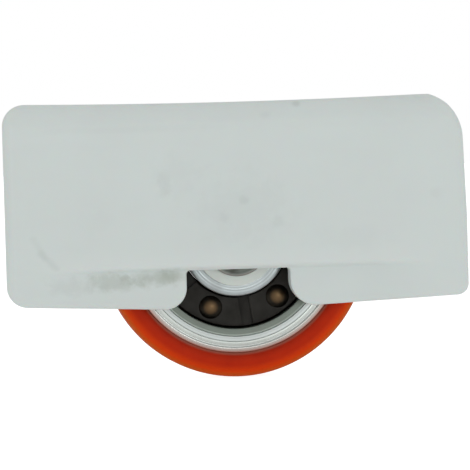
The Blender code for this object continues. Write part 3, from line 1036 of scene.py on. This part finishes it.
def shield_profile():
    """A thin ring whose inner part is pressed in, with the bends rounded."""
    inside = shield_in
    outside = shield_high.x
    back = shield_high.y
    front = shield_low.y
    step = 0.12 * MM
    points = [(inside, front + 0.03 * MM), (inside + 0.03 * MM, front)]
    points += [(outside - 0.04 * MM, front), (outside, front + 0.04 * MM)]
    points += arc(outside - 0.1 * MM, back - 0.1 * MM, 0.1 * MM, 0, 90, 4)
    points += [(6.02 * MM, back), (5.95 * MM, back - 0.02 * MM)]
    points += [(5.85 * MM, back - step + 0.02 * MM), (5.78 * MM, back - step)]
    return points + arc(inside + 0.06 * MM, back - step - 0.06 * MM, 0.06 * MM, 90, 180, 4)


shield = turned("pressed_shield", shield_profile())
shield.data.materials.append(
    make_steel(
        "shield_steel",
        dark=(0.42, 0.44, 0.43),
        light=(0.60, 0.63, 0.62),
        roughness=0.34,
        pitch=0.22,
        stain_colour=(0.20, 0.16, 0.12),
        stain_share=0.3,
        # painted shade: the face toward the balls, inside the bearing, is coloured nearly black
        bands=[("Depth", 2.80, 2.72, 1.0, (0.028, 0.025, 0.020))],
    )
)
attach(shield, "wheel")
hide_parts("bearing_shield")


# ---- Rim --------------------------------------------------------------------
# A turned steel ring pressed over the bearing. Its face has one shallow groove and
# falls away slightly at the outer edge, where the tyre is cast against it.
_, rim_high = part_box("rim")


def rim_profile():
    bore = outer_high.x + 0.03 * MM
    outside = rim_high.x
    half = rim_high.y
    fall = 0.3 * MM
    edge = 0.03 * MM
    front = [
        (bore, -half + edge),
        (bore + edge, -half),
        (bore + 0.30 * MM, -half),
        (bore + 0.35 * MM, -half + 0.025 * MM),
        (bore + 0.52 * MM, -half + 0.025 * MM),
        (bore + 0.57 * MM, -half),
        (outside - fall - edge, -half),
        (outside - fall, -half + 0.01 * MM),
        (outside - fall * 0.4, -half + 0.04 * MM),
        (outside, -half + 0.12 * MM),
    ]
    back = [(radius, -y) for radius, y in reversed(front)]
    return front + back


rim_steel = make_steel(
    "turned_rim_steel",
    dark=(0.72, 0.77, 0.73),
    light=(0.88, 0.94, 0.89),
    roughness=0.26,
    pitch=0.16,
    stain_colour=(0.40, 0.36, 0.33),
    stain_share=0.12,
    bands=[
        # painted shade darkens the face over the groove; further out the colour turns pink, then red
        ("Radius", 9.80, 10.04, 0.85, (0.42, 0.44, 0.42)),
        ("Radius", 10.12, 10.28, 0.9, (0.72, 0.62, 0.57)),
        ("Radius", 10.34, 10.6, 1.0, (0.74, 0.36, 0.28)),
    ],
)
rim = turned("steel_rim", rim_profile())
rim.data.materials.append(rim_steel)
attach(rim, "wheel")
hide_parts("rim")


# ---- Tyre -------------------------------------------------------------------
# Orange polyurethane cast round the rim. Its shoulders are round and a fine flash
# line runs round the middle of the crowned tread.
_, tyre_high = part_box("tyre")


def tyre_profile():
    bore = rim_high.x + 0.02 * MM
    outside = tyre_high.x
    half = tyre_high.y
    crown = 0.12 * MM
    shoulder = 0.9 * MM
    edge_r = outside - crown
    flash = 0.03 * MM
    front = [(bore, -half + 0.30 * MM), (bore + 0.05 * MM, -half + 0.20 * MM)]
    front += [(bore + 0.2 * MM, -half + 0.09 * MM), (bore + 0.5 * MM, -half + 0.02 * MM)]
    front += arc(edge_r - shoulder, -half + shoulder, shoulder, -90, 0, 10)
    for step in range(1, 6):
        share = step / 6
        y = (-half + shoulder) * (1 - share)
        rise = crown * (1 - (1 - share) ** 2)
        front.append((edge_r + rise - flash, y))
    front += [(outside - flash, -0.07 * MM), (outside, -0.02 * MM)]
    back = [(radius, -y) for radius, y in reversed(front)]
    return front + back


def make_orange_urethane():
    """Cast polyurethane: saturated, a little translucent, scuffed matt on the tread. Its colour is
    painted darker next to the rim and lighter toward the tread, as painted shade and light.
    """
    material, tree, shader = new_material(
        "orange_urethane",
        IOR=1.5,
        Subsurface_Weight=0.10,
        Subsurface_Scale=0.0006,
        Specular_IOR_Level=0.10,
    )
    shader.inputs["Subsurface Radius"].default_value = (1.0, 0.28, 0.08)
    skin = use_group(tree, moulded_skin, Grain_Size=0.2, Drift_Size=1.6, Flow=0.35)
    lines = use_group(tree, turned_lines, Pitch=0.35, Contrast=1.0, Stain_Size=1.4)
    radius = lines.outputs["Radius"]
    # painted shade and light: darkest next to the rim, lighter toward the tread, lightest and most
    # orange at the outer edge
    painted_shading_inner = ramp(tree, radius, 10.6, 11.7)
    painted_shading_outer = ramp(tree, radius, 11.7, 12.5)
    deep = blend_colour(tree, painted_shading_inner, (0.37, 0.013, 0.002), (0.60, 0.024, 0.0))
    deep = blend_colour(tree, painted_shading_outer, deep, (0.86, 0.064, 0.002))
    deep = blend_colour(tree, ramp(tree, radius, 12.35, 12.9), deep, (0.70, 0.135, 0.010))
    cloud = ramp(tree, skin.outputs["Tone"], 0.3, 0.9, 0.0, 0.25)
    colour = blend_colour(tree, cloud, deep, (0.82, 0.046, 0.001))
    lip = ramp(tree, radius, 10.94, 10.62, 0.0, 0.85)
    colour = blend_colour(tree, lip, colour, (0.44, 0.16, 0.11))
    worn = ramp(tree, radius, 12.85, 13.03)
    scuffed = maths(tree, "MULTIPLY", worn, lines.outputs["Stain"])
    colour = blend_colour(tree, maths(tree, "MULTIPLY", worn, 0.6), colour, (0.66, 0.060, 0.010))
    colour = blend_colour(tree, maths(tree, "MULTIPLY", scuffed, 0.3), colour, (0.36, 0.075, 0.03))
    tree.links.new(colour, shader.inputs["Base Color"])
    matt = ramp(tree, skin.outputs["Grain"], 0.3, 0.7, 0.36, 0.46)
    roughness = maths(tree, "ADD", matt, maths(tree, "MULTIPLY", worn, 0.2))
    tree.links.new(roughness, shader.inputs["Roughness"])
    add_bump(tree, shader, skin.outputs["Height"], 0.35, 0.02 * MM)
    return material


tyre = turned("urethane_tyre", tyre_profile(), 192)
tyre.data.materials.append(make_orange_urethane())
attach(tyre, "wheel")
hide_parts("tyre")


# ---- Studio -----------------------------------------------------------------
# A plain white table under soft light, and a long lens almost square to the front.
floor_builder = bmesh.new()
bmesh.ops.create_grid(floor_builder, x_segments=8, y_segments=8, size=1.5)
floor = finish_piece("table", floor_builder)


def make_table_white():
    """Matt white card, seen brighter than the light it throws back on the roller."""
    material, tree, shader = new_material("table_white", roughness=0.9)
    point = place(tree, "ShaderNodeTexCoord").outputs["Object"]
    fibre = place(tree, "ShaderNodeTexNoise", {"Scale": 60.0, "Detail": 3.0}, {"Vector": point})
    colour = blend_colour(tree, fibre.outputs["Fac"], (0.78, 0.785, 0.785), (0.80, 0.805, 0.805))
    seen = place(tree, "ShaderNodeLightPath").outputs["Is Camera Ray"]
    colour = blend_colour(tree, seen, colour, (0.45, 0.452, 0.452))
    tree.links.new(colour, shader.inputs["Base Color"])
    glow = maths(tree, "ADD", 0.20, maths(tree, "MULTIPLY", seen, 0.74))
    lit = blend_colour(tree, glow, (0.0, 0.0, 0.0), (1.0, 1.0, 1.0))
    tree.links.new(lit, shader.inputs["Emission Color"])
    shader.inputs["Emission Strength"].default_value = 1.0
    return material


floor.data.materials.append(make_table_white())


def soft_light(name, place_at, aim_at, size, power):
    data = bpy.data.lights.new(name, "AREA")
    data.shape = "RECTANGLE"
    data.size = size[0]
    data.size_y = size[1]
    data.energy = power
    lamp = bpy.data.objects.new(name, data)
    lamp.location = place_at
    lamp.rotation_mode = "QUATERNION"
    lamp.rotation_quaternion = (aim_at - lamp.location).to_track_quat("-Z", "Y")
    bpy.context.scene.collection.objects.link(lamp)


centre = Vector((0, 0, 0.014))
soft_light("front_softbox", Vector((0.10, -0.61, 0.01)), centre, (0.14, 0.12), 0.26)
soft_light("overhead_softbox", Vector((0.1, -0.15, 0.7)), centre, (0.9, 0.7), 0.20)

world = bpy.data.worlds.new("studio_surround")
world.use_nodes = True
bpy.context.scene.world = world
sky = world.node_tree
background = sky.nodes["Background"]
path = place(sky, "ShaderNodeLightPath")
strength = maths(sky, "ADD", 0.58, maths(sky, "MULTIPLY", path.outputs["Is Camera Ray"], 0.42))
sky.links.new(strength, background.inputs["Strength"])
background.inputs["Color"].default_value = (1.0, 1.0, 1.0, 1.0)

view_azimuth = math.radians(-3.2)
view_elevation = math.radians(2.0)
view_roll = math.radians(1.62)
view_distance = 0.300
aim = Vector((0.00018, 0.0, 0.01389))
back = Vector(
    (
        math.sin(view_azimuth) * math.cos(view_elevation),
        -math.cos(view_azimuth) * math.cos(view_elevation),
        math.sin(view_elevation),
    )
)
camera_data = bpy.data.cameras.new("product_camera")
camera_data.sensor_width = 36.0
camera_data.lens = 233.3
camera_data.clip_start = 0.01
camera = bpy.data.objects.new("product_camera", camera_data)
camera.location = aim + back * view_distance
camera.rotation_mode = "QUATERNION"
level = (-back).to_track_quat("-Z", "Y")
camera.rotation_quaternion = level @ Matrix.Rotation(-view_roll, 3, "Z").to_quaternion()
bpy.context.scene.collection.objects.link(camera)
bpy.context.scene.camera = camera
bpy.context.scene.view_settings.view_transform = "Standard"


# ---- Final update -----------------------------------------------------------
bpy.context.view_layer.update()
